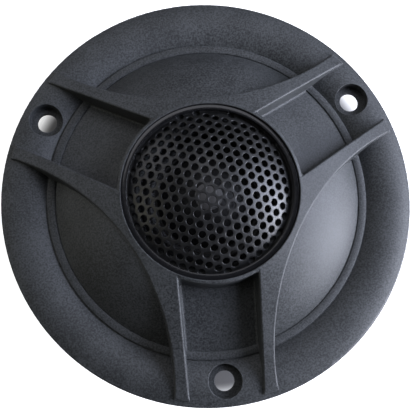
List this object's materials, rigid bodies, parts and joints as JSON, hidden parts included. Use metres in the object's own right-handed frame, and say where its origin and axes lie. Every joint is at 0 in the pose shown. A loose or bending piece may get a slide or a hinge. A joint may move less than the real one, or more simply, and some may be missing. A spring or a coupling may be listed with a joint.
{
  "type": "dome tweeter",
  "caption": "Round flush-mount dome tweeter with a domed perforated grille, a star of raised ribs on a matt face plate, and a ring-magnet driver behind it.",
  "frame": {"origin": "centre of the mounting plane, which is the flat back of the flange", "axes": "+Z out of the front of the speaker; one screw hole points along -Y, the terminals sit towards +X"},
  "size_m": [0.1, 0.1, 0.0388],
  "materials": {
    "faceplate": "fine moulded texture, matt",
    "gloss_ring": "glossy",
    "grille_steel": "semi-gloss black powder coat",
    "dome_film": "satin film",
    "cap": "pale satin",
    "surround": "matt",
    "former": "satin",
    "winding": "enamelled copper wire",
    "carrier": "matt",
    "foam": "closed-cell foam, matt",
    "plated_steel": "zinc plated, satin",
    "ferrite": "ground ceramic, matt",
    "felt": "pressed wool felt",
    "screw_steel": "zinc plated",
    "board": "brown phenolic board",
    "terminal_metal": "tin plated brass",
    "rivet_metal": "bright",
    "tag_brass": "tinned",
    "lead_red": "insulated wire, satin",
    "lead_black": "insulated wire, satin"
  },
  "bodies": {
    "chassis": {"faceplate": "faceplate", "grille_ring": "gloss_ring", "grille_mesh": "grille_steel", "surround": "surround", "diaphragm_ring": "carrier", "driver_gasket": "foam", "mounting_gasket": "foam", "front_plate": "plated_steel", "magnet": "ferrite", "yoke": "plated_steel", "pole_felt_pad": "felt", "driver_screws": "screw_steel", "terminal_board": "board", "positive_terminal": "terminal_metal", "negative_terminal": "terminal_metal", "terminal_rivets": "rivet_metal", "board_rivets": "rivet_metal", "solder_tags": "tag_brass", "positive_lead": "lead_red", "negative_lead": "lead_black"},
    "moving_assembly": {"dome_diaphragm": "dome_film", "dome_centre_cap": "cap", "voice_coil_former": "former", "voice_coil_winding": "winding"}
  },
  "joints": [
    {"name": "diaphragm_travel", "type": "slide", "parent": "chassis", "child": "moving_assembly", "axis": [0, 0, 1], "range_m": [-0.0005, 0.0005], "deforming": ["surround"]}
  ]
}
